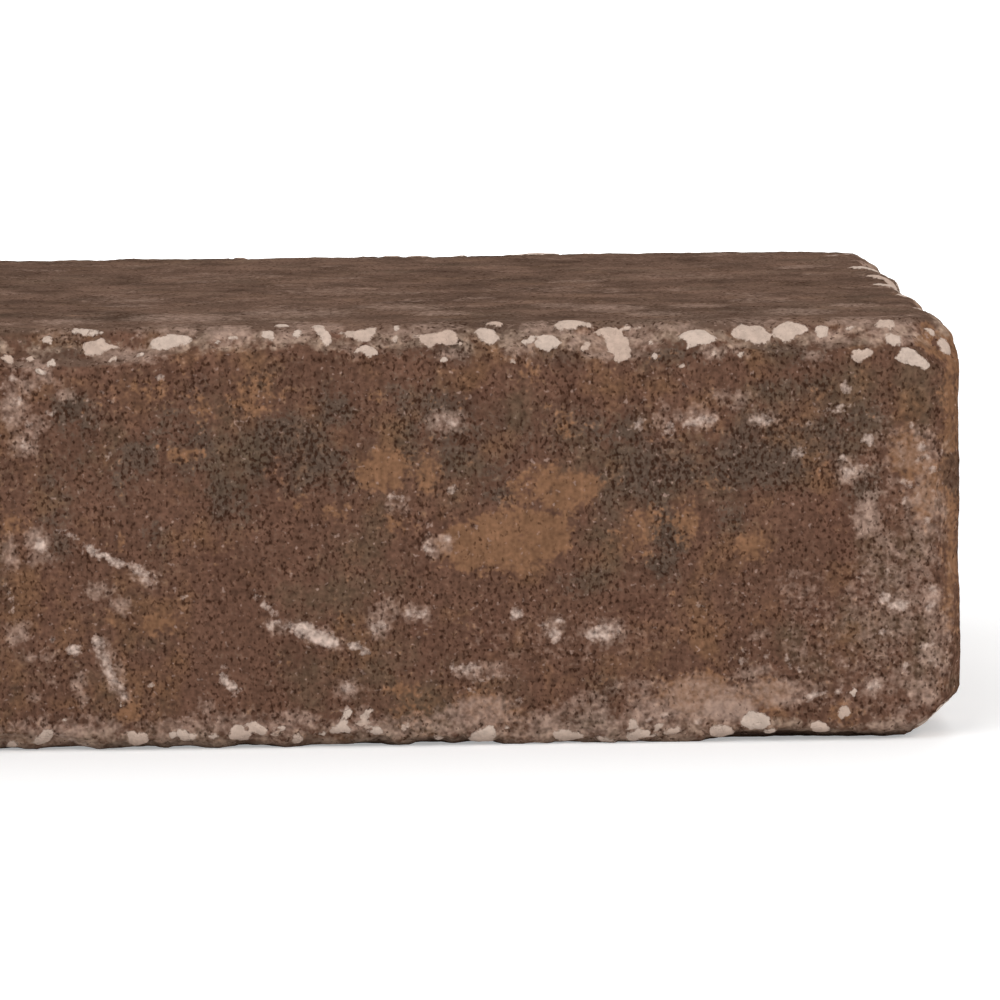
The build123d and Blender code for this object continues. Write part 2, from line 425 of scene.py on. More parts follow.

# Soft pale bloom on the front and over the worn arrises, and painted light along the bottom arris
HAZES_AND_PAINTED_LIGHT: tuple[Mark, ...] = (
    Spot(20, 385, 40, 24, strength=0.55),
    Spot(12, 410, 30, 40, strength=0.65),
    Spot(35, 425, 30, 24, strength=0.5),
    Spot(22, 445, 36, 28, strength=0.6),
    Spot(66, 394, 14, 12, strength=0.85),
    Spot(48, 380, 34, 12, turn=-20, strength=0.55),
    Spot(38, 542, 26, 26, strength=0.8),
    Spot(9, 555, 20, 40, strength=0.55),
    Spot(40, 560, 30, 18, strength=0.45),
    Spot(145, 576, 40, 18, turn=-30, strength=0.5),
    Spot(100, 590, 28, 20, strength=0.65),
    Spot(122, 607, 24, 18, strength=0.75),
    Spot(18, 633, 26, 24, strength=0.7),
    Spot(34, 656, 16, 9, strength=0.55),
    Spot(50, 655, 14, 9, strength=0.55),
    Spot(111, 670, 24, 74, turn=25, strength=0.55),
    Spot(79, 683, 14, 26, strength=0.75),
    Spot(83, 700, 10, 14, strength=0.65),
    Spot(54, 681, 12, 10, strength=0.55),
    Spot(36, 697, 14, 10, strength=0.55),
    Spot(205, 708, 16, 20, strength=0.55),
    Spot(72, 732, 30, 16, strength=0.75),
    Spot(160, 737, 30, 12, strength=0.55),
    Spot(296, 720, 60, 22, strength=0.65),
    Spot(347, 690, 28, 20, strength=0.65),
    Spot(363, 716, 18, 22, strength=0.65),
    Spot(290, 628, 58, 16, turn=-5, strength=0.5),
    Spot(320, 637, 46, 20, turn=-22, strength=0.6),
    Spot(380, 622, 28, 44, turn=-15, strength=0.6),
    Spot(392, 605, 24, 26, strength=0.4),
    Spot(416, 614, 38, 18, strength=0.6),
    Spot(437, 546, 36, 28, strength=0.55),
    Spot(398, 505, 30, 24, strength=0.4),
    Spot(446, 420, 44, 26, strength=0.6),
    Spot(698, 418, 48, 26, strength=0.5),
    Spot(730, 396, 60, 16, strength=0.45),
    Spot(662, 418, 24, 34, strength=0.4),
    Spot(737, 405, 14, 20, strength=0.5),
    Spot(765, 420, 36, 14, strength=0.55),
    Spot(852, 472, 36, 30, strength=0.6),
    Spot(868, 518, 32, 50, strength=0.75),
    Spot(886, 542, 30, 30, strength=0.45),
    Spot(915, 568, 16, 24, strength=0.65),
    Spot(900, 603, 36, 28, strength=0.55),
    Spot(932, 598, 26, 46, strength=0.65),
    Spot(906, 626, 18, 16, strength=0.65),
    Spot(890, 632, 14, 12, strength=0.5),
    Spot(931, 656, 28, 40, strength=0.65),
    Spot(880, 655, 20, 16, strength=0.5),
    Spot(803, 652, 16, 14, strength=0.5),
    Spot(875, 686, 24, 20, strength=0.75),
    Spot(924, 692, 36, 36, strength=0.65),
    Spot(905, 712, 22, 16, strength=0.65),
    Spot(900, 680, 32, 28, strength=0.5),
    Spot(602, 632, 56, 28, strength=0.5),
    Spot(553, 630, 28, 32, strength=0.5),
    Spot(482, 672, 64, 24, strength=0.5),
    Spot(725, 710, 70, 34, strength=1.0),
    Spot(780, 700, 48, 14, strength=0.85),
    Spot(750, 674, 42, 10, turn=15, strength=0.75),
    Spot(680, 715, 54, 32, strength=0.65),
    Spot(690, 690, 50, 24, strength=0.35),
    Spot(758, 636, 22, 8, strength=0.6),
    # Painted light: long faint spots that pale the down-facing bottom arris, standing in for light thrown up
    # from the white floor
    Spot(60, 728, 170, 28, strength=0.4),
    Spot(230, 726, 190, 28, strength=0.45),
    Spot(400, 726, 190, 28, strength=0.45),
    Spot(560, 730, 170, 24, strength=0.45),
    Spot(640, 727, 150, 26, strength=0.5),
    Spot(900, 725, 80, 18, strength=0.5),
    Spot(890, 470, 60, 120, strength=0.22),
    Spot(925, 540, 40, 190, strength=0.38),
    Spot(890, 600, 80, 130, strength=0.33),
    Spot(130, 356, 70, 16, strength=0.7),
    Spot(228, 334, 50, 22, strength=0.8),
    Spot(285, 336, 50, 18, strength=0.6),
    Spot(400, 333, 50, 16, strength=0.5),
    Spot(520, 350, 40, 20, strength=0.5),
    Spot(585, 340, 50, 24, strength=0.6),
    Spot(640, 335, 40, 24, strength=0.6),
    Spot(710, 352, 26, 18, strength=0.6),
    Spot(840, 335, 40, 20, strength=0.5),
    Spot(895, 332, 60, 30, strength=0.5),
    Spot(30, 366, 60, 18, strength=0.5),
    Spot(60, 334, 60, 12, strength=0.5),
    Spot(180, 330, 70, 12, strength=0.55),
    Spot(318, 327, 60, 14, strength=0.65),
    Spot(360, 350, 50, 14, strength=0.4),
    Spot(440, 327, 60, 12, strength=0.5),
    Spot(455, 355, 40, 14, strength=0.45),
    Spot(545, 328, 70, 14, strength=0.6),
    Spot(610, 350, 70, 26, strength=0.5),
    Spot(670, 326, 60, 12, strength=0.5),
    Spot(735, 350, 30, 12, strength=0.6),
    Spot(760, 322, 80, 10, strength=0.5),
    Spot(825, 336, 36, 24, strength=0.65),
    Spot(860, 322, 70, 14, strength=0.65),
    Spot(815, 358, 24, 16, strength=0.5),
    Spot(850, 655, 170, 130, strength=0.2),
    Spot(800, 590, 60, 50, strength=0.25),
    Spot(560, 640, 220, 60, strength=0.15),
    Spot(480, 712, 80, 40, strength=0.6),
    Spot(450, 716, 50, 28, strength=0.5),
    Spot(540, 722, 60, 24, strength=0.6),
    Spot(585, 712, 70, 40, strength=0.5),
    Spot(655, 712, 70, 36, strength=0.65),
    Spot(640, 690, 60, 30, strength=0.4),
    Spot(700, 698, 90, 52, strength=0.55),
    Spot(772, 690, 90, 28, strength=0.55),
    Spot(915, 450, 60, 60, strength=0.35),
    Spot(925, 520, 50, 60, strength=0.4),
    Spot(940, 640, 30, 100, strength=0.4),
    Spot(870, 600, 60, 60, strength=0.3),
)

# Patches where tan pigment shows, on the front
TANS: tuple[Mark, ...] = (
    Spot(522, 540, 120, 72),
    Spot(556, 490, 96, 62, strength=0.9),
    Spot(470, 546, 76, 52, strength=0.9),
    Spot(378, 472, 58, 48),
    Spot(428, 472, 25, 48, strength=0.9),
    Spot(184, 454, 42, 14),
    Spot(335, 511, 32, 18, strength=0.85),
    Spot(300, 503, 26, 22, strength=0.65),
    Spot(395, 525, 44, 32, strength=0.6),
    Spot(640, 530, 50, 60, strength=0.7),
    Spot(642, 549, 56, 15, strength=0.8),
    Spot(690, 520, 40, 60, strength=0.6),
    Spot(705, 485, 30, 24, strength=0.65),
    Spot(750, 545, 38, 26, strength=0.95),
    Spot(770, 690, 64, 18, strength=0.95),
    Spot(690, 690, 62, 42, strength=0.55),
    Spot(118, 546, 15, 13, strength=0.95),
    Spot(162, 623, 48, 26, strength=0.8),
    Spot(112, 622, 15, 15, strength=0.85),
    Spot(130, 712, 21, 17, strength=0.95),
    Spot(908, 455, 48, 70, strength=0.95),
    Spot(950, 400, 18, 130, strength=1.0),
    Spot(950, 560, 18, 170, strength=0.9),
    Spot(926, 490, 40, 90, strength=0.95),
    Spot(403, 690, 36, 22, strength=0.75),
    Spot(415, 715, 84, 30, strength=0.55),
    Spot(475, 712, 21, 32, strength=0.75),
    Spot(510, 712, 52, 24, strength=0.55),
    Spot(846, 712, 34, 22, strength=0.95),
    Spot(735, 702, 90, 36, strength=0.9),
    Spot(530, 385, 20, 44, strength=0.5),
    Spot(130, 395, 80, 40, strength=0.4),
    Spot(210, 410, 40, 40, strength=0.45),
    Spot(255, 396, 70, 60, strength=0.45),
    Spot(380, 400, 36, 20, strength=0.45),
    Spot(10, 520, 44, 36, strength=0.65),
    Spot(560, 425, 60, 40, strength=0.4),
    Spot(700, 695, 90, 50, strength=0.8),
    Spot(640, 700, 50, 30, strength=0.5),
    Spot(480, 705, 70, 40, strength=0.7),
)

# Zones where charcoal pigment shows, on the front, and a dark line where the top face turns into the front arris
CHARCOALS: tuple[Mark, ...] = (
    Spot(290, 455, 116, 74),
    Spot(335, 412, 60, 36, strength=0.85),
    Spot(403, 440, 24, 60, strength=0.9),
    Spot(462, 462, 44, 40, strength=0.75),
    Spot(68, 408, 34, 34, strength=0.9),
    Spot(88, 425, 26, 26, strength=0.7),
    Spot(140, 452, 38, 42, strength=0.8),
    Spot(52, 498, 42, 42, strength=0.8),
    Spot(195, 388, 26, 22, strength=0.8),
    Spot(165, 422, 26, 30, strength=0.6),
    Spot(228, 500, 52, 62, strength=0.8),
    Spot(60, 547, 23, 21),
    Spot(160, 535, 32, 26, strength=0.65),
    Spot(635, 430, 52, 42, strength=0.85),
    Spot(650, 470, 112, 72, strength=0.85),
    Spot(665, 535, 44, 50, strength=0.8),
    Spot(608, 500, 24, 52, strength=0.85),
    Spot(790, 450, 156, 92, strength=0.95),
    Spot(770, 395, 64, 32, strength=0.65),
    Spot(825, 392, 52, 42, strength=0.75),
    Spot(865, 488, 38, 38, strength=0.9),
    Spot(735, 525, 32, 32, strength=0.75),
    Spot(530, 473, 20, 24, strength=0.6),
    Spot(500, 492, 42, 20, strength=0.65),
    Spot(662, 563, 32, 32, strength=0.8),
    Spot(590, 575, 62, 42, strength=0.65),
    Spot(600, 690, 42, 42, strength=0.45),
    Spot(430, 722, 72, 26, strength=0.55),
    Spot(595, 722, 42, 24, strength=0.75),
    Stroke(((949, 405), (951, 460), (950, 520)), 5, strength=0.7),
    Spot(60, 342, 90, 24, strength=0.8),
    Spot(400, 340, 60, 22, strength=0.9),
    Spot(465, 346, 60, 24, strength=0.9),
    Spot(512, 336, 50, 22, strength=0.8),
    Spot(565, 352, 60, 20, strength=0.8),
    Spot(690, 352, 80, 24, strength=0.7),
    Spot(780, 352, 90, 22, strength=0.7),
    # Thin spots along the top of the front arris, which make it darker along that line
    Spot(110, 318, 110, 10, strength=0.9),
    Spot(250, 317, 120, 8, strength=0.7),
    Spot(480, 318, 100, 10, strength=0.8),
    Spot(650, 318, 160, 9, strength=0.9),
    Spot(770, 311, 120, 8, strength=0.8),
    Spot(430, 405, 120, 50, strength=0.45),
    Spot(490, 440, 120, 70, strength=0.45),
    Spot(570, 430, 90, 60, strength=0.45),
    Spot(700, 465, 120, 60, strength=0.6),
    Spot(330, 470, 140, 60, strength=0.5),
    Spot(205, 450, 90, 60, strength=0.5),
    Spot(100, 470, 80, 50, strength=0.4),
    Spot(860, 420, 70, 60, strength=0.5),
)

# Pale wisps on the top face, which the photograph shows almost edge on
TOP_WISPS: tuple[Mark, ...] = (
    Spot(439, 313, 60, 6, strength=0.75),
    Spot(400, 307, 90, 5, strength=0.6),
    Spot(561, 305, 60, 5, strength=0.65),
    Spot(610, 308, 80, 6, strength=0.75),
    Spot(650, 314, 60, 5, strength=0.65),
    Spot(700, 306, 60, 5, strength=0.6),
    Spot(760, 300, 80, 5, strength=0.5),
    Spot(800, 312, 70, 6, strength=0.75),
    Spot(850, 305, 50, 8, strength=0.6),
    Spot(868, 276, 30, 8, strength=0.5),
    Spot(62, 322, 60, 6, strength=0.75),
    Spot(180, 318, 110, 7, strength=0.75),
    Spot(300, 313, 130, 6, strength=0.65),
    Spot(120, 300, 120, 5, strength=0.4),
    Spot(330, 292, 140, 5, strength=0.4),
    Spot(540, 290, 120, 5, strength=0.35),
    Spot(230, 276, 120, 4, strength=0.35),
    Spot(690, 276, 120, 5, strength=0.35),
)

PHOTO_MARKS: dict[Layer, tuple[Mark, ...]] = {
    Layer.STONE: TOP_STONES + BOTTOM_STONES,
    Layer.SCUFF: SCUFFS,
    Layer.HAZE_AND_PAINTED_LIGHT: HAZES_AND_PAINTED_LIGHT + TOP_WISPS,
    Layer.TAN: TANS,
    Layer.CHARCOAL: CHARCOALS,
}


@dataclass(frozen=True)
class PhotoCamera:
    """The camera that took the photograph, in the frame of the block."""

    place: tuple[float, float, float] = (0.0, -1.073, 0.1455)
    target: tuple[float, float, float] = (0.0391, -0.070, 0.0353)
    lens_mm: float = 256.5
    roll: float = 0.5
    sensor_mm: float = 36.0
    image_px: int = 1000

    def axes(self) -> tuple[Vector, Vector, Vector]:
        """Gives the ways to the right, up and ahead."""
        ahead = (Vector(self.target) - Vector(self.place)).normalized()
        level = ahead.cross(Vector((0, 0, 1))).normalized()
        right = Quaternion(ahead, math.radians(self.roll)) @ level
        return right, right.cross(ahead), ahead

    def focal_px(self) -> float:
        """Gives the focal length in pixels."""
        return self.lens_mm / self.sensor_mm * self.image_px

    def ray(self, across: float, down: float) -> Vector:
        """Gives the way from the camera through a pixel."""
        right, upward, ahead = self.axes()
        middle = self.image_px / 2
        way = ahead * self.focal_px() + right * (across - middle) - upward * (down - middle)
        return way.normalized()

    def pixels(self, points: np.ndarray) -> np.ndarray:
        """Projects points of the block into the photograph.

        Args:
            points: one point in each row, in metres.

        Returns:
            The pixel across and down of each point.
        """
        right, upward, ahead = (np.array(axis) for axis in self.axes())
        from_camera = points - np.array(self.place)
        scale = self.focal_px() / (from_camera @ ahead)
        middle = self.image_px / 2
        across = middle + (from_camera @ right) * scale
        down = middle - (from_camera @ upward) * scale
        return np.stack([across, down], axis=1)

    def pixels_per_mm(self) -> float:
        """Gives the scale of the photograph on the front face."""
        return self.focal_px() * MM / (Vector(self.target) - Vector(self.place)).length

    def build(self) -> None:
        """Adds the camera and makes it the one that the scene is seen through."""
        bpy.ops.object.camera_add(location=self.place)
        camera = bpy.context.object
        camera.name = "photo_camera"
        right, upward, ahead = self.axes()
        camera.rotation_euler = Matrix((right, upward, -ahead)).transposed().to_euler()
        camera.data.lens = self.lens_mm
        camera.data.sensor_width = self.sensor_mm
        camera.data.clip_start = 0.05
        camera.data.clip_end = 50.0
        bpy.context.scene.camera = camera


def rim_distance(points: np.ndarray, polygon: np.ndarray) -> np.ndarray:
    """Measures how far points are from the rim of a polygon.

    Args:
        points: one point in each row.
        polygon: the corners in order, one in each row.

    Returns:
        The distance of each point, below zero inside the polygon.
    """
    nearest = np.full(len(points), np.inf)
    inside = np.zeros(len(points), bool)
    for start, end in zip(polygon, np.roll(polygon, -1, axis=0)):
        edge = end - start
        offset = points - start
        share = np.clip(offset @ edge / max(edge @ edge, 1e-12), 0, 1)
        gap = offset - share[:, None] * edge
        nearest = np.minimum(nearest, (gap * gap).sum(axis=1))
        straddles = (points[:, 1] >= start[1]) != (points[:, 1] >= end[1])
        turn = edge[0] * offset[:, 1] - edge[1] * offset[:, 0]
        inside ^= straddles & ((turn > 0) == (edge[1] > 0))
    return np.sqrt(nearest) * np.where(inside, -1.0, 1.0)


def smooth(values: np.ndarray, low: float, high: float) -> np.ndarray:
    """Rises smoothly from 0 where values are at low to 1 where they are at high."""
    share = np.clip((values - low) / (high - low), 0, 1)
    return share * share * (3 - 2 * share)


def linear(colour: Rgb) -> tuple[float, float, float, float]:
    """Turns a colour of 0 to 255 per channel, as a screen shows it, into a linear one."""
    channels = (channel / 255 for channel in colour)
    lights = (c / 12.92 if c <= 0.04045 else ((c + 0.055) / 1.055) ** 2.4 for c in channels)
    return (*lights, 1.0)


@dataclass
class WearMap:
    """The marks on the block, as one number per layer for each point of its mesh."""

    piece: Object
    camera: PhotoCamera
    seed: int = 41
    feather_mm: dict[Layer, float] = field(default_factory=lambda: {
        Layer.SCUFF: 0.6,
        Layer.HAZE_AND_PAINTED_LIGHT: 1.2,
        Layer.TAN: 2.0,
        Layer.CHARCOAL: 2.6,
    })
    margin_mm: float = 9.0
    arris_flat_mm: float = 2.0
    arris_end_mm: float = 5.5
    upright_wear: float = 0.55
    top_stones_per_mm: float = 0.26
    bottom_stones_per_mm: float = 0.17
    upright_stones_per_mm: float = 0.10
    sight_mm: float = 1.5
    seen_top_share: float = 0.55
    same_side: float = 0.5
    clear_edge_mm: float = 12.0

    def __post_init__(self) -> None:
        """Reads the points of the mesh and starts every layer empty."""
        mesh = self.piece.data
        count = len(mesh.vertices)
        self.dice = np.random.default_rng(self.seed)
        self.points = np.empty(count * 3)
        mesh.vertices.foreach_get("co", self.points)
        self.points = self.points.reshape(-1, 3)
        self.normals = np.empty(count * 3)
        mesh.vertices.foreach_get("normal", self.normals)
        self.normals = self.normals.reshape(-1, 3)
        self.pixels = self.camera.pixels(self.points)
        depsgraph = bpy.context.evaluated_depsgraph_get()
        self.surface = BVHTree.FromObject(self.piece, depsgraph)
        self.low, self.high = (np.array(corner) for corner in CAD_BOX)
        self.layers = {layer: np.zeros(count) for layer in Layer}
        self.layers[Layer.STONE] += self.margin_mm

    def _store(self, layer: Layer, near: np.ndarray, gap_mm: np.ndarray, strength: float) -> None:
        """Adds one mark to its layer.

        Args:
            layer: the layer that the mark is on.
            near: the numbers of the points close to the mark.
            gap_mm: how far each of those points is outside the rim, in millimetres.
            strength: how strong a soft mark is, from 0 to 1.
        """
        values = self.layers[layer]
        if layer is Layer.STONE:
            nearer = gap_mm < values[near]
            values[near[nearer]] = gap_mm[nearer]
            self.layers[Layer.TINT][near[nearer]] = self.dice.random()
            return
        feather = self.feather_mm[layer]
        cover = strength * smooth(-gap_mm, -feather, feather)
        values[near] = np.maximum(values[near], cover)

    def place_from_photo(self, layer: Layer, mark: Mark) -> None:
        """Puts a mark where the photograph shows it, on the surface behind its middle.

        Args:
            layer: the layer that the mark is on.
            mark: its outline, in pixels.
        """
        polygon = mark.polygon(self.dice)
        middle = polygon.mean(axis=0)
        way = self.camera.ray(*middle)
        origin = Vector(self.camera.place)
        hit = self.surface.ray_cast(origin, way)[0]
        if hit is None:
            front = origin + way * (self.low[1] - origin.y) / way.y
            hit = self.surface.find_nearest(front)[0]
        scale = self.camera.pixels_per_mm()
        reach_mm = np.linalg.norm(polygon - middle, axis=1).max() / scale * 1.15
        apart_mm = np.linalg.norm(self.points - np.array(hit), axis=1) / MM
        near = np.flatnonzero(apart_mm < reach_mm + self.margin_mm)
        gap_mm = rim_distance(self.pixels[near], polygon) / scale
        self._store(layer, near, np.maximum(gap_mm, apart_mm[near] - reach_mm), mark.strength)

    def place_on_surface(self, layer: Layer, target: Vector, mark: Mark) -> None:
        """Puts a mark flat on the surface nearest to a point.

        Args:
            layer: the layer that the mark is on.
            target: the point, in metres.
            mark: its outline in millimetres, round its own zero.
        """
        middle, normal = self.surface.find_nearest(target)[:2]
        level = Vector((0, 0, 1)) if abs(normal.z) < 0.9 else Vector((0, 1, 0))
        along = level.cross(normal).normalized()
        across = normal.cross(along)
        polygon = mark.polygon(self.dice)
        offset_mm = (self.points - np.array(middle)) / MM
        reach_mm = np.linalg.norm(polygon, axis=1).max() * 1.15
        apart_mm = np.linalg.norm(offset_mm, axis=1)
        alike = self.normals @ np.array(normal) > self.same_side
        near = np.flatnonzero((apart_mm < reach_mm + self.margin_mm) & alike)
        flat = np.stack([offset_mm[near] @ np.array(along), -(offset_mm[near] @ np.array(across))], axis=1)
        gap_mm = np.maximum(rim_distance(flat, polygon), apart_mm[near] - reach_mm)
        self._store(layer, near, gap_mm, mark.strength)

    def in_photo(self, target: np.ndarray) -> bool:
        """Tells if the photograph shows the surface nearest to a point, or ends just beside it."""
        spot = self.surface.find_nearest(Vector(target))[0]
        across, down = self.camera.pixels(np.array([spot]))[0]
        origin = Vector(self.camera.place)
        seen = self.surface.ray_cast(origin, spot - origin)[0]
        hidden = seen is not None and (seen - spot).length > self.sight_mm * MM
        edge = -self.clear_edge_mm * self.camera.pixels_per_mm()
        return edge < across < self.camera.image_px and not hidden

    def wear_arrises(self) -> None:
        """Marks how near each point is to an arris, and which faces lie level."""
        to_low = self.points - self.low
        to_high = self.high - self.points
        to_sides = np.minimum(to_low, to_high) / MM
        to_faces = np.sort(to_sides, axis=1)
        wear = 1 - smooth(to_faces[:, 1], self.arris_flat_mm, self.arris_end_mm)
        upright = to_sides.argmax(axis=1) == 2
        self.layers[Layer.ARRIS] = np.where(upright, self.upright_wear * wear, wear)
        self.layers[Layer.LEVEL] = smooth(np.abs(self.normals[:, 2]), 0.55, 0.9)

    def place_marks(self) -> None:
        """Places the marks of the photograph, then like ones on what it does not show."""
        for layer, marks in PHOTO_MARKS.items():
            for mark in marks:
                self.place_from_photo(layer, mark)
        self._scatter_stones()
        self._scatter_patches()

    def _scatter_stones(self) -> None:
        """Strews stones along every arris that the photograph does not show."""
        sides = (Face.FRONT, Face.RIGHT, Face.BACK, Face.LEFT)
        rims = [(Face.TOP, side, self.top_stones_per_mm) for side in sides]
        rims += [(Face.BOTTOM, side, self.bottom_stones_per_mm) for side in sides]
        uprights = [(one, other, self.upright_stones_per_mm) for one, other in zip(sides, sides[1:] + sides[:1])]
        for one, other, per_mm in rims + uprights:
            signs = np.array(one.value) + np.array(other.value)
            run = int(np.flatnonzero(signs == 0)[0])
            length_mm = (self.high - self.low)[run] / MM
            for _ in range(int(length_mm * per_mm)):
                target = np.where(signs > 0, self.high, self.low)
                target[run] = self.low[run] + self.dice.uniform(0.03, 0.97) * length_mm * MM
                inward = (one, other)[self.dice.integers(2)]
                target -= np.array(inward.value) * self.dice.uniform(0, 7.5) * MM
                size_mm = min(0.9 + self.dice.gamma(2.0, 1.0), 6.0)
                stone = Spot(0, 0, size_mm * self.dice.uniform(1.0, 1.7), size_mm, self.dice.uniform(-40, 40))
                if not self.in_photo(target):
                    self.place_on_surface(Layer.STONE, Vector(target), stone)

    def _scatter_patches(self) -> None:
        """Strews soft marks over every face that the photograph does not show."""
        makers = {
            Layer.TAN: (0.0016, (4, 16), (0.5, 1.0)),
            Layer.CHARCOAL: (0.0016, (5, 18), (0.5, 1.0)),
            Layer.HAZE_AND_PAINTED_LIGHT: (0.0062, (1.5, 6), (0.4, 0.8)),
            Layer.SCUFF: (0.0045, (0.6, 2.6), (0.5, 1.0)),
        }
        for face in Face:
            facing = np.array(face.value)
            flat = np.flatnonzero(facing == 0)
            area_mm2 = np.prod((self.high - self.low)[flat]) / MM**2
            for layer, (per_mm2, sizes_mm, strengths) in makers.items():
                for _ in range(int(area_mm2 * per_mm2)):
                    target = np.where(facing > 0, self.high, self.low)
                    target[flat] = self.dice.uniform(self.low[flat], self.high[flat])
                    patch = self._patch(layer, self.dice.uniform(*sizes_mm), self.dice.uniform(*strengths))
                    if self.in_photo(target):
                        if face is not Face.TOP or layer is not Layer.HAZE_AND_PAINTED_LIGHT:
                            continue
                        patch = replace(patch, strength=patch.strength * self.seen_top_share)
                    self.place_on_surface(layer, Vector(target), patch)

    def _patch(self, layer: Layer, size_mm: float, strength: float) -> Mark:
        """Makes up one soft mark: every third scrape is a long one, and the rest are spots.

        Args:
            layer: the layer that it is for.
            size_mm: how wide it is.
            strength: how strong it is, from 0 to 1.

        Returns:
            The mark, in millimetres round its own zero.
        """
        turn = self.dice.uniform(-45, 45)
        longer = self.dice.uniform(1.0, 2.2)
        if layer is not Layer.SCUFF or self.dice.random() > 0.33:
            return Spot(0, 0, size_mm * longer, size_mm, turn, strength)
        half = 2.2 * size_mm * longer
        across, down = half * math.cos(math.radians(turn)), half * math.sin(math.radians(turn))
        bend = self.dice.uniform(-0.25, 0.25)
        path = ((-across, -down), (-bend * down, bend * across), (across, down))
        return Stroke(path, 0.7 * size_mm, strength)

    def write(self) -> None:
        """Keeps every layer on the mesh as an attribute of its points."""
        for layer, values in self.layers.items():
            attribute = self.piece.data.attributes.new(layer.value, "FLOAT", "POINT")
            attribute.data.foreach_set("value", values.astype(np.float32))


@dataclass
class TumbledBlock:
    """The cast block: its mesh, its chipped arrises, its bare stones and its finish."""

    node: str = "paver"
    body: str = "root"
    slot: str = "concrete"
    name: str = "tumbled_paver"
    voxel: float = 2.4 * MM
    arris_band: float = 5.5 * MM
    fine_cuts: int = 3
    stone_stands: float = 0.22 * MM

    def build(self, camera: PhotoCamera) -> Object:
        """Makes the block and everything on it.

        Args:
            camera: the camera that the marks of the photograph are read through.

        Returns:
            The finished piece.
        """
        piece = self._rough_out()
        self._refine(piece)
        self._roughen(piece)
        wear = WearMap(piece, camera)
        wear.wear_arrises()
        wear.place_marks()
        wear.write()
        self._raise_stones(piece, wear.layers[Layer.STONE])
        self._dress(piece)
        return piece

    def _apply(self, piece: Object, modifier: bpy.types.Modifier) -> None:
        """Applies a modifier to the piece."""
        bpy.context.view_layer.objects.active = piece
        bpy.ops.object.modifier_apply(modifier=modifier.name)

    def _rough_out(self) -> Object:
        """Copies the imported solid, merges it and gives it an even mesh.

        Returns:
            The copy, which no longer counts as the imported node.
        """
        solid = frame["nodes"][self.node]
        bpy.ops.object.select_all(action="DESELECT")
        solid.select_set(True)
        bpy.context.view_layer.objects.active = solid
        bpy.ops.object.duplicate()
        piece = bpy.context.object
        piece.name = self.name
        piece.data.name = self.name
        piece.parent = None
        del piece["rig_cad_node"]
        bpy.ops.object.mode_set(mode="EDIT")
        bpy.ops.mesh.select_all(action="SELECT")
        bpy.ops.mesh.remove_doubles(threshold=0.001 * MM)
        bpy.ops.object.mode_set(mode="OBJECT")
        remesh = piece.modifiers.new("even_mesh", "REMESH")
        remesh.mode = "VOXEL"
        remesh.voxel_size = self.voxel
        self._apply(piece, remesh)
        return piece

    def _refine(self, piece: Object) -> None:
        """Divides the mesh on the front and along the arrises, and draws it back onto the solid.

        Args:
            piece: the block.
        """
        mesh = piece.data
        middles = np.empty(len(mesh.polygons) * 3)
        mesh.polygons.foreach_get("center", middles)
        middles = middles.reshape(-1, 3)
        low, high = (np.array(corner) for corner in CAD_BOX)
        to_faces = np.sort(np.minimum(middles - low, high - middles), axis=1)
        on_front = middles[:, 1] - low[1] < self.arris_band
        mesh.polygons.foreach_set("select", on_front | (to_faces[:, 1] < self.arris_band))
        bpy.ops.object.mode_set(mode="EDIT")
        bpy.ops.mesh.select_mode(type="FACE")
        bpy.ops.mesh.subdivide(number_cuts=self.fine_cuts)
        bpy.ops.object.mode_set(mode="OBJECT")
        wrap = piece.modifiers.new("onto_solid", "SHRINKWRAP")
        wrap.target = frame["nodes"][self.node]
        wrap.wrap_method = "NEAREST_SURFACEPOINT"
        self._apply(piece, wrap)

    def _group(self, piece: Object, name: str, weights: np.ndarray) -> str:
        """Makes a vertex group.

        Args:
            piece: the block.
            name: the name of the group.
            weights: the weight of each point, from 0 to 1.

        Returns:
            The name of the group.
        """
        group = piece.vertex_groups.new(name=name)
        levels = np.round(weights * 20).astype(int)
        for level in range(1, 21):
            members = np.flatnonzero(levels == level)
            group.add(members.tolist(), level / 20, "REPLACE")
        return name

    def _displace(self, piece: Object, texture: bpy.types.Texture | None, strength: float,
                  mid_level: float, group: str = "") -> None:
        """Moves the surface in and out along its normals.

        Args:
            piece: the block.
            texture: the pattern that it follows, or None for an even move.
            strength: how far it moves.
            mid_level: the value of the pattern that stays in place.
            group: the vertex group that limits it, if any.
        """
        displace = piece.modifiers.new("displace", "DISPLACE")
        displace.texture = texture
        displace.texture_coords = "LOCAL"
        displace.strength = strength
        displace.mid_level = mid_level
        displace.vertex_group = group
        self._apply(piece, displace)

    def _roughen(self, piece: Object) -> None:
        """Gives the block its uneven faces, its chipped arrises and its grain.

        Args:
            piece: the block.
        """
        points = np.empty(len(piece.data.vertices) * 3)
        piece.data.vertices.foreach_get("co", points)
        points = points.reshape(-1, 3)
        low, high = (np.array(corner) for corner in CAD_BOX)
        to_faces = np.sort(np.minimum(points - low, high - points), axis=1) / MM
        arrises = self._group(piece, "arrises", 1 - smooth(to_faces[:, 1], 1.5, 7.0))
        waves = bpy.data.textures.new("uneven_faces", "CLOUDS")
        waves.noise_scale = 17 * MM
        waves.noise_depth = 2
        self._displace(piece, waves, 0.55 * MM, 0.5)
        chips = bpy.data.textures.new("chips", "VORONOI")
        chips.noise_scale = 6.5 * MM
        chips.noise_intensity = 1.1
        self._displace(piece, chips, 1.1 * MM, 0.75, arrises)
        crumbs = bpy.data.textures.new("crumbs", "CLOUDS")
        crumbs.noise_scale = 2.6 * MM
        crumbs.noise_depth = 2
        self._displace(piece, crumbs, 0.75 * MM, 0.55, arrises)
        grain = bpy.data.textures.new("grain", "CLOUDS")
        grain.noise_scale = 1.7 * MM
        grain.noise_depth = 1
        self._displace(piece, grain, 0.22 * MM, 0.5)

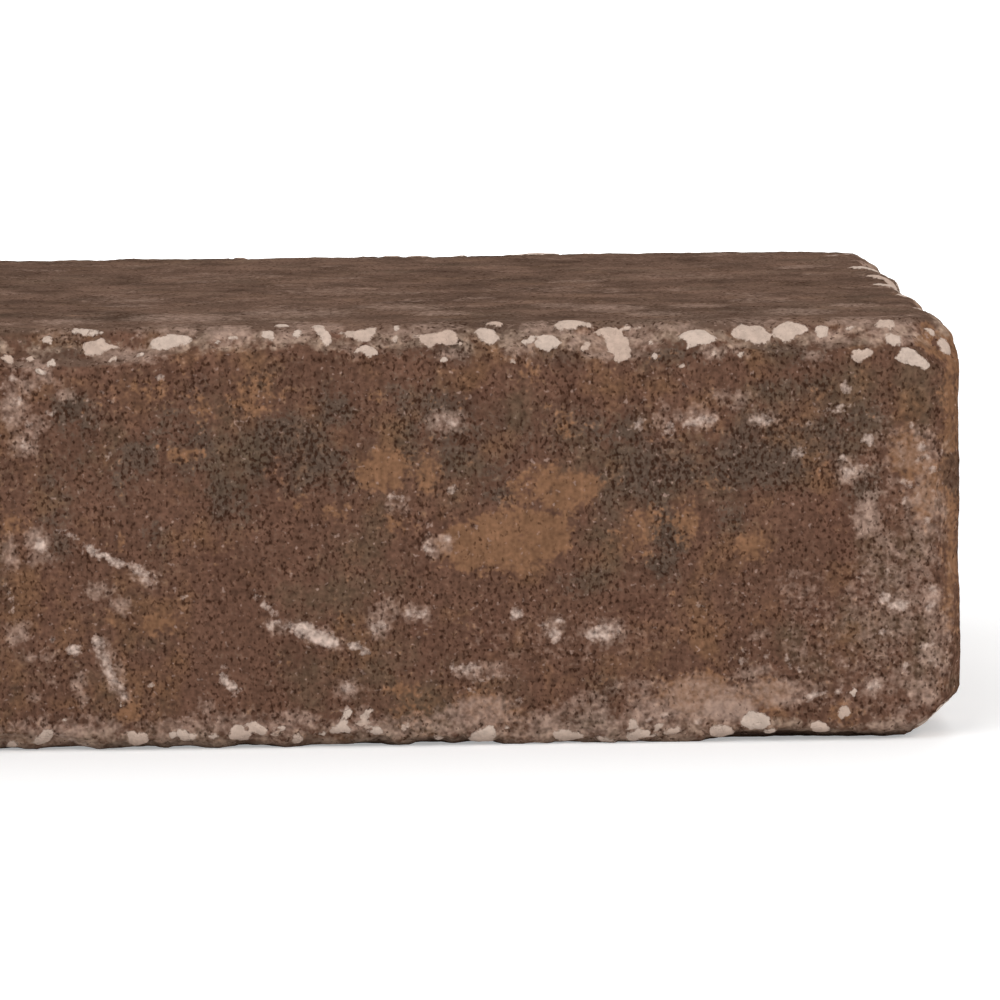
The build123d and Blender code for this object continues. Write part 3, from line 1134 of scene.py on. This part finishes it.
    def _raise_stones(self, piece: Object, gap_mm: np.ndarray) -> None:
        """Lets the bare stones stand a little out of the paste round them.

        Args:
            piece: the block.
            gap_mm: how far each point is outside the rim of the nearest stone.
        """
        stones = self._group(piece, "stones", smooth(-gap_mm, -0.35, 0.45))
        self._displace(piece, None, self.stone_stands, 0.0, stones)
        rims = self._group(piece, "stone_rims", 1 - smooth(np.abs(gap_mm - 0.55), 0.1, 0.6))
        self._displace(piece, None, -0.18 * MM, 0.0, rims)

    def _dress(self, piece: Object) -> None:
        """Smooths the shading, gives the block its finish and seats it on its body.

        Args:
            piece: the block.
        """
        bpy.ops.object.select_all(action="DESELECT")
        piece.select_set(True)
        bpy.context.view_layer.objects.active = piece
        bpy.ops.object.shade_smooth()
        piece.vertex_groups.clear()
        piece.data.materials.clear()
        piece.data.materials.append(TumbledConcrete().build())
        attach(piece, self.body)
        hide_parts(self.node)


Plug = NodeSocket | float | tuple[float, float, float, float]


class NodeBench:
    """A material's node tree, with short ways to lay out the nodes that the finish needs."""

    def __init__(self, name: str) -> None:
        """Starts a material with an empty node tree."""
        self.material = bpy.data.materials.new(name)
        self.material.use_nodes = True
        self.tree = self.material.node_tree
        self.tree.nodes.clear()
        self.coords = self.add("ShaderNodeTexCoord").outputs["Object"]

    def add(self, kind: str, **settings: str | bool) -> Node:
        """Adds a node and sets its own settings."""
        node = self.tree.nodes.new(kind)
        for name, value in settings.items():
            setattr(node, name, value)
        return node

    def plug(self, socket: NodeSocket, value: Plug) -> None:
        """Links a socket to another one, or sets its number or colour."""
        if isinstance(value, NodeSocket):
            self.tree.links.new(value, socket)
        else:
            socket.default_value = value

    def layer(self, layer: Layer) -> NodeSocket:
        """Reads a layer of marks from the mesh."""
        return self.add("ShaderNodeAttribute", attribute_name=layer.value).outputs["Fac"]

    def stretched(self, stretch: tuple[float, float, float]) -> NodeSocket:
        """Gives the block's coordinates, scaled along each axis."""
        mapping = self.add("ShaderNodeMapping")
        self.plug(mapping.inputs["Vector"], self.coords)
        mapping.inputs["Scale"].default_value = stretch
        return mapping.outputs["Vector"]

    def noise(self, size_mm: float, detail: float = 2.0, roughness: float = 0.5,
              stretch: tuple[float, float, float] = (1, 1, 1)) -> NodeSocket:
        """Adds cloudy noise.

        Args:
            size_mm: about how wide its blobs are.
            detail: how many finer octaves it has.
            roughness: how strong those octaves are.
            stretch: how the coordinates are scaled along each axis.

        Returns:
            The value of the noise, round 0.5.
        """
        node = self.add("ShaderNodeTexNoise")
        self.plug(node.inputs["Vector"], self.stretched(stretch))
        node.inputs["Scale"].default_value = 1 / (size_mm * MM)
        node.inputs["Detail"].default_value = detail
        node.inputs["Roughness"].default_value = roughness
        return node.outputs["Fac"]

    def grains(self, size_mm: float) -> tuple[NodeSocket, NodeSocket]:
        """Adds packed grains.

        Args:
            size_mm: about how wide a grain is.

        Returns:
            The distance from the middle of each grain, and a number that is each grain's own.
        """
        node = self.add("ShaderNodeTexVoronoi")
        self.plug(node.inputs["Vector"], self.coords)
        node.inputs["Scale"].default_value = 1 / (size_mm * MM)
        parts = self.add("ShaderNodeSeparateColor")
        self.plug(parts.inputs["Color"], node.outputs["Color"])
        return node.outputs["Distance"], parts.outputs["Red"]

    def maths(self, operation: str, one: Plug, other: Plug) -> NodeSocket:
        """Works out one number from two."""
        node = self.add("ShaderNodeMath", operation=operation)
        self.plug(node.inputs[0], one)
        self.plug(node.inputs[1], other)
        return node.outputs["Value"]

    def fade(self, value: Plug, start: float, end: float, low: float = 0.0, high: float = 1.0) -> NodeSocket:
        """Maps a value smoothly.

        Args:
            value: what is mapped.
            start: the value that gives low.
            end: the value that gives high.
            low: what start gives.
            high: what end gives.

        Returns:
            The mapped value, held between low and high.
        """
        node = self.add("ShaderNodeMapRange", interpolation_type="SMOOTHSTEP")
        self.plug(node.inputs["Value"], value)
        for name, number in zip(("From Min", "From Max", "To Min", "To Max"), (start, end, low, high)):
            node.inputs[name].default_value = number
        return node.outputs["Result"]

    def slope(self, value: Plug, start: float, end: float, low: float = 0.0,
              high: float = 1.0) -> NodeSocket:
        """Maps a value evenly.

        Args:
            value: what is mapped.
            start: the value that gives low.
            end: the value that gives high.
            low: what start gives.
            high: what end gives.

        Returns:
            The mapped value, held between low and high.
        """
        node = self.add("ShaderNodeMapRange")
        self.plug(node.inputs["Value"], value)
        for name, number in zip(("From Min", "From Max", "To Min", "To Max"), (start, end, low, high)):
            node.inputs[name].default_value = number
        return node.outputs["Result"]

    def blend(self, share: Plug, one: Plug, other: Plug, how: str = "MIX") -> NodeSocket:
        """Blends two colours.

        Args:
            share: how much of the blend shows, from 0 to 1.
            one: the colour under it.
            other: the colour over it.
            how: the way that they blend.

        Returns:
            The blended colour.
        """
        node = self.add("ShaderNodeMix", data_type="RGBA", blend_type=how)
        self.plug(node.inputs[0], share)
        self.plug(node.inputs[6], one)
        self.plug(node.inputs[7], other)
        return node.outputs[2]


@dataclass(frozen=True)
class TumbledConcrete:
    """Through-coloured concrete after tumbling: pigments, pores with painted shade in them, sand, bloom with
    painted light along the bottom arris, scrapes, and stones lifted a little by painted light.
    """

    red_brown: Rgb = (106, 77, 63)
    charcoal: Rgb = (95, 78, 67)
    tan: Rgb = (131, 96, 72)
    level_face: Rgb = (107, 87, 75)
    ochre: Rgb = (121, 89, 66)
    olive: Rgb = (99, 81, 65)
    brick: Rgb = (104, 73, 60)
    # The pores are holes; their dark colour is painted shade inside them
    pit_shade: Rgb = (56, 34, 23)
    sand: Rgb = (168, 141, 128)
    # The bloom's pale colour, also laid as painted light along the bottom arris
    bloom_and_painted_light: Rgb = (170, 143, 128)
    scrape: Rgb = (198, 175, 162)
    worn: Rgb = (167, 143, 125)
    # The stones' own pale colours, lifted a little as painted light for the shaded stones along the bottom arris
    stone_light: Rgb = (208, 188, 174)
    stone_warm: Rgb = (197, 172, 156)
    streak: tuple[float, float, float] = (1.0, 1.0, 0.12)
    pore_stretch: tuple[float, float, float] = (1.0, 1.0, 0.75)
    roughness: float = 0.93
    stone_roughness: float = 0.62

    def build(self) -> Material:
        """Lays out the whole finish.

        Returns:
            The material.
        """
        bench = NodeBench("tumbled_concrete")
        grit = self._grit(bench)
        pores = self._pores(bench)
        stones = self._stones(bench)
        colour = self._paste(bench, grit)
        colour = self._sand(bench, colour)
        colour = self._worn_arrises(bench, colour, grit)
        # Bloom, and painted light along the bottom arris
        colour = self._bloom_and_painted_light(bench, colour, grit)
        # Painted shade in the pores
        colour = bench.blend(pores, colour, linear(self.pit_shade))
        colour = self._scrapes(bench, colour, grit)
        colour = self._shade(bench, colour, bench.slope(grit, 0.1, 0.9, 0.43, 1.57))
        colour = self._stone_colour(bench, colour, stones)
        shader = bench.add("ShaderNodeBsdfPrincipled")
        bench.plug(shader.inputs["Base Color"], colour)
        bench.plug(shader.inputs["Roughness"],
                   bench.fade(stones, 0, 1, self.roughness, self.stone_roughness))
        shader.inputs["Specular IOR Level"].default_value = 0.0
        bench.plug(shader.inputs["Normal"], self._relief(bench, grit, pores, stones))
        output = bench.add("ShaderNodeOutputMaterial")
        bench.plug(output.inputs["Surface"], shader.outputs["BSDF"])
        return bench.material

    def _paste(self, bench: NodeBench, grit: NodeSocket) -> NodeSocket:
        """Lays out the coloured paste.

        Args:
            bench: the material's nodes.
            grit: the grit of the paste, which frays the rims of its patches.

        Returns:
            Its colour.
        """
        ragged = bench.noise(4.5, detail=5, roughness=0.68)
        charcoal = self._sway(bench, bench.layer(Layer.CHARCOAL), ragged, 2.2)
        charcoal = bench.fade(self._sway(bench, charcoal, grit, 1.7), 0.1, 0.7)
        tan = self._sway(bench, bench.layer(Layer.TAN), ragged, 2.2)
        tan = bench.fade(self._sway(bench, tan, grit, 1.7), 0.3, 0.85)
        colour = bench.blend(charcoal, linear(self.red_brown), linear(self.charcoal))
        for pigment, size_mm in ((self.brick, 9.0), (self.olive, 13.0), (self.ochre, 8.0)):
            patches = bench.fade(bench.noise(size_mm, detail=5, roughness=0.65), 0.5, 0.7, 0, 0.75)
            colour = bench.blend(patches, colour, linear(pigment))
        colour = bench.blend(tan, colour, linear(self.tan))
        level = bench.fade(bench.layer(Layer.LEVEL), 0, 1, 0, 0.7)
        colour = bench.blend(level, colour, linear(self.level_face))
        return self._shade(bench, colour, self._mottle(bench))

    def _mottle(self, bench: NodeBench) -> NodeSocket:
        """Lays out the light and dark of the paste: fine on upright faces, broad on level ones.

        Args:
            bench: the material's nodes.

        Returns:
            A number round 1 to multiply the colour by.
        """
        fine = bench.fade(bench.layer(Layer.LEVEL), 0, 1, 0.6, 0.1)
        broad = bench.fade(bench.layer(Layer.LEVEL), 0, 1, 0.0, 1.8)
        shade = self._sway(bench, 1.0, bench.noise(10.0, detail=3, roughness=0.6), 0.53)
        drawn = bench.noise(0.9, detail=2, roughness=0.6, stretch=self.streak)
        shade = self._sway(bench, shade, drawn, fine)
        shade = self._sway(bench, shade, bench.noise(2.4, detail=3, roughness=0.7), fine)
        return self._sway(bench, shade, bench.noise(9.0, detail=3, roughness=0.6), broad)

    def _sand(self, bench: NodeBench, colour: NodeSocket) -> NodeSocket:
        """Strews single pale grains of sand over the paste.

        Args:
            bench: the material's nodes.
            colour: the colour of the paste.

        Returns:
            The colour with the grains in it.
        """
        grains = bench.noise(0.75, detail=1, roughness=0.5)
        return bench.blend(bench.fade(grains, 0.66, 0.8, 0, 0.6), colour, linear(self.sand))

    def _grit(self, bench: NodeBench) -> NodeSocket:
        """Lays out the grit of the paste, from single grains to clumps, flatter in tan paste.

        Args:
            bench: the material's nodes.

        Returns:
            A value round 0.5, low in pits and high on grains.
        """
        grit = bench.noise(1.0, detail=1, roughness=0.8)
        calm = bench.fade(bench.layer(Layer.TAN), 0.2, 0.8, 1.0, 0.65)
        level = bench.fade(bench.layer(Layer.LEVEL), 0, 1, 1.0, 0.45)
        spread = bench.maths("MULTIPLY", calm, level)
        off_middle = bench.maths("MULTIPLY", bench.maths("SUBTRACT", grit, 0.5), spread)
        return bench.maths("ADD", off_middle, 0.5)

    def _sway(self, bench: NodeBench, value: Plug, noise: NodeSocket, amount: Plug) -> NodeSocket:
        """Moves a value up and down with a noise.

        Args:
            bench: the material's nodes.
            value: what is moved.
            noise: the noise, round 0.5.
            amount: how much of the noise is added.

        Returns:
            The sum of both, which is the value where the noise is at its middle.
        """
        shift = bench.maths("MULTIPLY", bench.maths("SUBTRACT", noise, 0.5), amount)
        return bench.maths("ADD", value, shift)

    def _shade(self, bench: NodeBench, colour: NodeSocket, shade: NodeSocket) -> NodeSocket:
        """Makes a colour darker or lighter by a number round 1."""
        node = bench.add("ShaderNodeVectorMath", operation="SCALE")
        bench.plug(node.inputs[0], colour)
        bench.plug(node.inputs["Scale"], shade)
        return node.outputs["Vector"]

    def _pores(self, bench: NodeBench) -> NodeSocket:
        """Lays out the open pores, which take painted shade: many in charcoal paste, few in tan paste and on
        arrises.

        Args:
            bench: the material's nodes.

        Returns:
            How far each point is down a pore, from 0 to 1.
        """
        crowd = bench.fade(bench.noise(5.0, detail=3), 0.3, 0.7, 0.05, -0.05)
        closed = bench.fade(bench.layer(Layer.TAN), 0.2, 0.8, 0, 0.09)
        opened = bench.fade(bench.layer(Layer.CHARCOAL), 0.2, 0.8, 0, -0.07)
        worn = bench.fade(bench.layer(Layer.ARRIS), 0.2, 0.9, 0, 0.05)
        level = bench.fade(bench.layer(Layer.LEVEL), 0, 1, 0, 0.015)
        # Fewer pores under bloom and under the painted light along the bottom arris
        filled_and_lit = bench.fade(bench.layer(Layer.HAZE_AND_PAINTED_LIGHT), 0.2, 0.9, 0, 0.05)
        holes = bench.noise(0.56, detail=1, roughness=0.6, stretch=self.pore_stretch)
        for shift in (crowd, closed, opened, worn, level, filled_and_lit):
            holes = bench.maths("ADD", holes, shift)
        return bench.fade(holes, 0.49, 0.25, 0, 0.85)

    def _worn_arrises(self, bench: NodeBench, colour: NodeSocket, grit: NodeSocket) -> NodeSocket:
        """Pales the arrises in patches, where tumbling has rubbed the colour off.

        Args:
            bench: the material's nodes.
            colour: the colour under the wear.
            grit: the grit of the paste, which keeps its colour in the pits.

        Returns:
            The worn colour.
        """
        patchy = bench.noise(2.2, detail=3, roughness=0.6)
        rubbed = self._sway(bench, bench.layer(Layer.ARRIS), patchy, 2.4)
        rubbed = self._sway(bench, rubbed, grit, 0.8)
        return bench.blend(bench.slope(rubbed, 0.7, 1.6), colour, linear(self.worn))

    def _bloom_and_painted_light(self, bench: NodeBench, colour: NodeSocket, grit: NodeSocket) -> NodeSocket:
        """Lays pale bloom over the grains of the paste, and with it the painted light along the bottom arris.

        Args:
            bench: the material's nodes.
            colour: the colour under it.
            grit: the grit of the paste.

        Returns:
            The colour with bloom and painted light on it.
        """
        patchy = bench.noise(1.4, detail=4, roughness=0.65)
        haze_and_painted_light = bench.layer(Layer.HAZE_AND_PAINTED_LIGHT)
        bloom_and_painted_light = self._sway(bench, haze_and_painted_light, patchy, bench.fade(haze_and_painted_light, 0, 0.3, 0.7, 1.6))
        bloom_and_painted_light = self._sway(bench, bloom_and_painted_light, grit, 0.7)
        return bench.blend(bench.slope(bloom_and_painted_light, 0.15, 0.95, 0, 0.9), colour, linear(self.bloom_and_painted_light))

    def _scrapes(self, bench: NodeBench, colour: NodeSocket, grit: NodeSocket) -> NodeSocket:
        """Lays hard pale scrapes over the grains of the paste.

        Args:
            bench: the material's nodes.
            colour: the colour under them.
            grit: the grit of the paste.

        Returns:
            The colour with scrapes on it.
        """
        ragged = bench.noise(1.2, detail=4, roughness=0.7)
        scuff = bench.layer(Layer.SCUFF)
        scrape = self._sway(bench, scuff, ragged, bench.fade(scuff, 0, 0.3, 0.7, 2.0))
        scrape = self._sway(bench, scrape, grit, 0.7)
        return bench.blend(bench.slope(scrape, 0.25, 0.95), colour, linear(self.scrape))

    def _stones(self, bench: NodeBench) -> NodeSocket:
        """Finds the bare stones, with crisp broken rims.

        Args:
            bench: the material's nodes.

        Returns:
            1 on a stone and 0 off it.
        """
        rim = self._sway(bench, bench.layer(Layer.STONE), bench.noise(0.8, detail=3, roughness=0.6), 1.1)
        return bench.fade(rim, 0.13, -0.13)

    def _stone_colour(self, bench: NodeBench, colour: NodeSocket, stones: NodeSocket) -> NodeSocket:
        """Colours the bare stones, each with its own tint, lifted a little as painted light for the shaded
        stones along the bottom arris.

        Args:
            bench: the material's nodes.
            colour: the colour of everything round them.
            stones: where the stones are.

        Returns:
            The colour with the stones in it.
        """
        stone = bench.blend(bench.layer(Layer.TINT), linear(self.stone_light), linear(self.stone_warm))
        veins = bench.fade(bench.noise(1.3, detail=4, roughness=0.7), 0.3, 0.7, 0.84, 1.08)
        return bench.blend(stones, colour, self._shade(bench, stone, veins))

    def _relief(self, bench: NodeBench, grit: NodeSocket, pores: NodeSocket,
                stones: NodeSocket) -> NodeSocket:
        """Gives the surface its fine relief, too small for the mesh.

        Args:
            bench: the material's nodes.
            grit: the grit of the paste.
            pores: the depth of the pores.
            stones: where the smooth stones are.

        Returns:
            The normal.
        """
        rough = bench.maths("MULTIPLY", grit, bench.fade(stones, 0, 1, 1.0, 0.25))
        height = bench.maths("SUBTRACT", rough, bench.maths("MULTIPLY", pores, 0.6))
        bump = bench.add("ShaderNodeBump")
        bump.inputs["Strength"].default_value = 0.7
        bump.inputs["Distance"].default_value = 0.35 * MM
        bench.plug(bump.inputs["Height"], height)
        return bump.outputs["Normal"]


@dataclass(frozen=True)
class Lamp:
    """A soft square lamp that looks at the middle of the block."""

    name: str
    place: tuple[float, float, float]
    size: float
    watts: float

    def build(self, target: Vector) -> None:
        """Adds the lamp."""
        bpy.ops.object.light_add(type="AREA", location=self.place)
        lamp = bpy.context.object
        lamp.name = self.name
        lamp.data.size = self.size
        lamp.data.energy = self.watts
        lamp.visible_camera = False
        lamp.rotation_euler = (target - Vector(self.place)).to_track_quat("-Z", "Y").to_euler()


@dataclass(frozen=True)
class Studio:
    """A white floor and soft light that falls about evenly on the front and the top."""

    lamps: tuple[Lamp, ...] = (
        Lamp("key", (-0.7, -1.3, 1.1), 1.0, 11.0),
        Lamp("fill", (1.1, -1.1, 0.7), 1.2, 8.8),
        Lamp("overhead", (0.0, 0.2, 1.5), 1.4, 4.3),
        Lamp("rear", (0.3, 1.5, 0.9), 1.2, 9.8),
    )
    sky: float = 0.43
    floor_width: float = 30.0
    floor_colour: Rgb = (236, 236, 236)
    floor_glow: float = 0.35
    floor_fade: tuple[float, float] = (0.3, 1.2)

    def build(self) -> None:
        """Adds the floor, the lamps and the light of the sky, and sets plain colours."""
        bpy.ops.object.select_all(action="DESELECT")
        bpy.ops.mesh.primitive_plane_add(size=self.floor_width)
        floor = bpy.context.object
        floor.name = "floor"
        floor.data.materials.append(self._floor_finish())
        middle = (CAD_BOX[0] + CAD_BOX[1]) / 2
        for lamp in self.lamps:
            lamp.build(middle)
        self._light_sky()
        bpy.context.scene.view_settings.view_transform = "Standard"

    def _seen_straight(self, bench: NodeBench) -> NodeSocket:
        """Gives 1 for what the camera sees, straight or in a mirror or through glass."""
        path = bench.add("ShaderNodeLightPath")
        seen = bench.maths("MAXIMUM", path.outputs["Is Camera Ray"], path.outputs["Is Glossy Ray"])
        return bench.maths("MAXIMUM", seen, path.outputs["Is Transmission Ray"])

    def _floor_finish(self) -> Material:
        """Makes the white of the floor, which glows a little for the camera and keeps shadows.

        Returns:
            The material.
        """
        bench = NodeBench("white_floor")
        shader = bench.add("ShaderNodeBsdfPrincipled")
        shader.inputs["Base Color"].default_value = linear(self.floor_colour)
        shader.inputs["Roughness"].default_value = 1.0
        shader.inputs["Specular IOR Level"].default_value = 0.0
        shader.inputs["Emission Color"].default_value = (1, 1, 1, 1)
        away = bench.add("ShaderNodeVectorMath", operation="LENGTH")
        bench.plug(away.inputs[0], bench.coords)
        glow = bench.fade(away.outputs["Value"], *self.floor_fade, self.floor_glow, 1.0)
        glow = bench.maths("MULTIPLY", self._seen_straight(bench), glow)
        bench.plug(shader.inputs["Emission Strength"], glow)
        output = bench.add("ShaderNodeOutputMaterial")
        bench.plug(output.inputs["Surface"], shader.outputs["BSDF"])
        return bench.material

    def _light_sky(self) -> None:
        """Lights the scene evenly from all round, with white behind the block."""
        world = bpy.data.worlds.new("studio")
        bpy.context.scene.world = world
        world.use_nodes = True
        tree = world.node_tree
        tree.nodes.clear()
        path = tree.nodes.new("ShaderNodeLightPath")
        seen = path.outputs["Is Camera Ray"]
        for name in ("Is Glossy Ray", "Is Transmission Ray"):
            either = tree.nodes.new("ShaderNodeMath")
            either.operation = "MAXIMUM"
            tree.links.new(seen, either.inputs[0])
            tree.links.new(path.outputs[name], either.inputs[1])
            seen = either.outputs["Value"]
        strength = tree.nodes.new("ShaderNodeMapRange")
        strength.inputs["To Min"].default_value = self.sky
        strength.inputs["To Max"].default_value = 1.0
        tree.links.new(seen, strength.inputs["Value"])
        background = tree.nodes.new("ShaderNodeBackground")
        background.inputs["Color"].default_value = (1, 1, 1, 1)
        tree.links.new(strength.outputs["Result"], background.inputs["Strength"])
        output = tree.nodes.new("ShaderNodeOutputWorld")
        tree.links.new(background.outputs["Background"], output.inputs["Surface"])


def main() -> None:
    """Builds the block and the studio round it."""
    logging.basicConfig(level=logging.INFO, format="%(name)s: %(message)s")
    camera = PhotoCamera()
    piece = TumbledBlock().build(camera)
    LOG.info("%s: %d points, %d faces", piece.name, len(piece.data.vertices), len(piece.data.polygons))
    Studio().build()
    camera.build()


if __name__ == "__main__":
    main()
